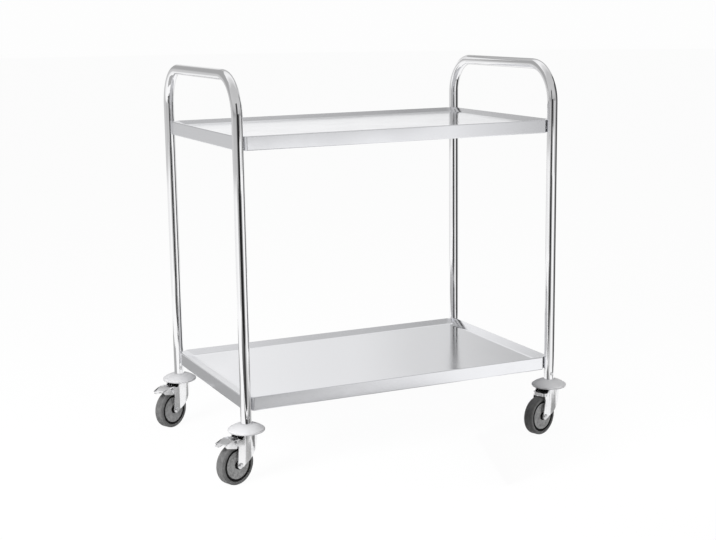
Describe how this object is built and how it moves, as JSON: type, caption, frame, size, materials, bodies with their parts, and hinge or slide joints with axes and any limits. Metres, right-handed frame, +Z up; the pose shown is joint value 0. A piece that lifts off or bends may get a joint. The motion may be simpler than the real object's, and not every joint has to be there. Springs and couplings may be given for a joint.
{
  "type": "serving trolley",
  "caption": "Tiered steel serving trolley: bent-tube end frames with push handles, pressed sheet trays, bumper discs and swivel castors, those at one end braked.",
  "frame": {"origin": "on the floor under the middle of the trolley's overall box, castors turned as in the rest pose", "axes": "+Z up; +Y from the front long side to the rear long side; +X from the braked end to the other end"},
  "size_m": [0.9334, 0.5866, 0.923],
  "materials": {
    "frame_tube": "polished stainless tube",
    "tray_sheet": "satin stainless sheet",
    "stiffener_sheet": "plain stainless sheet",
    "zinc_steel": "bright zinc plated steel",
    "castor_steel": "bright plated pressed steel",
    "bumper_plastic": "moulded light grey plastic",
    "dark_plastic": "moulded black plastic",
    "wheel_plastic": "moulded black plastic",
    "cover_plastic": "moulded mid grey plastic",
    "tyre_rubber": "grey non-marking rubber"
  },
  "bodies": {
    "trolley": {"left_end_frame": "frame_tube", "right_end_frame": "frame_tube", "upper_tray": "tray_sheet", "lower_tray": "tray_sheet", "upper_tray_stiffeners": "stiffener_sheet", "lower_tray_stiffeners": "stiffener_sheet", "upper_tray_bolts": "zinc_steel", "lower_tray_bolts": "zinc_steel", "tube_inserts": "zinc_steel", "cross_screws": "zinc_steel", "bumper_front_left": "bumper_plastic", "stem_front_left": "zinc_steel", "dust_cap_front_left": "dark_plastic", "bumper_rear_left": "bumper_plastic", "stem_rear_left": "zinc_steel", "dust_cap_rear_left": "dark_plastic", "bumper_front_right": "bumper_plastic", "stem_front_right": "zinc_steel", "dust_cap_front_right": "dark_plastic", "bumper_rear_right": "bumper_plastic", "stem_rear_right": "zinc_steel", "dust_cap_rear_right": "dark_plastic"},
    "castor_front_left": {"fork_front_left": "castor_steel", "balls_front_left": "zinc_steel", "axle_bolt_front_left": "zinc_steel", "axle_nut_front_left": "zinc_steel", "sleeve_front_left": "zinc_steel", "brake_pin_front_left": "zinc_steel"},
    "wheel_front_left": {"wheel_centre_front_left": "wheel_plastic", "tyre_front_left": "tyre_rubber", "wheel_covers_front_left": "cover_plastic"},
    "pedal_front_left": {"brake_pedal_front_left": "castor_steel"},
    "castor_rear_left": {"fork_rear_left": "castor_steel", "balls_rear_left": "zinc_steel", "axle_bolt_rear_left": "zinc_steel", "axle_nut_rear_left": "zinc_steel", "sleeve_rear_left": "zinc_steel", "brake_pin_rear_left": "zinc_steel"},
    "wheel_rear_left": {"wheel_centre_rear_left": "wheel_plastic", "tyre_rear_left": "tyre_rubber", "wheel_covers_rear_left": "cover_plastic"},
    "pedal_rear_left": {"brake_pedal_rear_left": "castor_steel"},
    "castor_front_right": {"fork_front_right": "castor_steel", "balls_front_right": "zinc_steel", "axle_bolt_front_right": "zinc_steel", "axle_nut_front_right": "zinc_steel", "sleeve_front_right": "zinc_steel"},
    "wheel_front_right": {"wheel_centre_front_right": "wheel_plastic", "tyre_front_right": "tyre_rubber", "wheel_covers_front_right": "cover_plastic"},
    "castor_rear_right": {"fork_rear_right": "castor_steel", "balls_rear_right": "zinc_steel", "axle_bolt_rear_right": "zinc_steel", "axle_nut_rear_right": "zinc_steel", "sleeve_rear_right": "zinc_steel"},
    "wheel_rear_right": {"wheel_centre_rear_right": "wheel_plastic", "tyre_rear_right": "tyre_rubber", "wheel_covers_rear_right": "cover_plastic"}
  },
  "joints": [
    {"name": "swivel_front_left", "type": "hinge", "parent": "trolley", "child": "castor_front_left", "pos_m": [-0.38142, -0.245, 0.107], "axis": [0, 0, 1], "continuous": true},
    {"name": "roll_front_left", "type": "hinge", "parent": "castor_front_left", "child": "wheel_front_left", "pos_m": [-0.41631, -0.25874, 0.047], "axis": [0.3665, -0.9304, 0], "continuous": true},
    {"name": "brake_front_left", "type": "hinge", "parent": "castor_front_left", "child": "pedal_front_left", "pos_m": [-0.42329, -0.26149, 0.1015], "axis": [0.3665, -0.9304, 0], "range_deg": [0, 11.5]},
    {"name": "swivel_rear_left", "type": "hinge", "parent": "trolley", "child": "castor_rear_left", "pos_m": [-0.38142, 0.245, 0.107], "axis": [0, 0, 1], "continuous": true},
    {"name": "roll_rear_left", "type": "hinge", "parent": "castor_rear_left", "child": "wheel_rear_left", "pos_m": [-0.41389, 0.22625, 0.047], "axis": [0.5, -0.866, 0], "continuous": true},
    {"name": "brake_rear_left", "type": "hinge", "parent": "castor_rear_left", "child": "pedal_rear_left", "pos_m": [-0.42039, 0.2225, 0.1015], "axis": [0.5, -0.866, 0], "range_deg": [0, 11.5]},
    {"name": "swivel_front_right", "type": "hinge", "parent": "trolley", "child": "castor_front_right", "pos_m": [0.42358, -0.245, 0.107], "axis": [0, 0, 1], "continuous": true},
    {"name": "roll_front_right", "type": "hinge", "parent": "castor_front_right", "child": "wheel_front_right", "pos_m": [0.38823, -0.25752, 0.047], "axis": [0.3338, -0.9426, 0], "continuous": true},
    {"name": "swivel_rear_right", "type": "hinge", "parent": "trolley", "child": "castor_rear_right", "pos_m": [0.42358, 0.245, 0.107], "axis": [0, 0, 1], "continuous": true},
    {"name": "roll_rear_right", "type": "hinge", "parent": "castor_rear_right", "child": "wheel_rear_right", "pos_m": [0.39111, 0.26375, 0.047], "axis": [-0.5, -0.866, 0], "continuous": true}
  ]
}
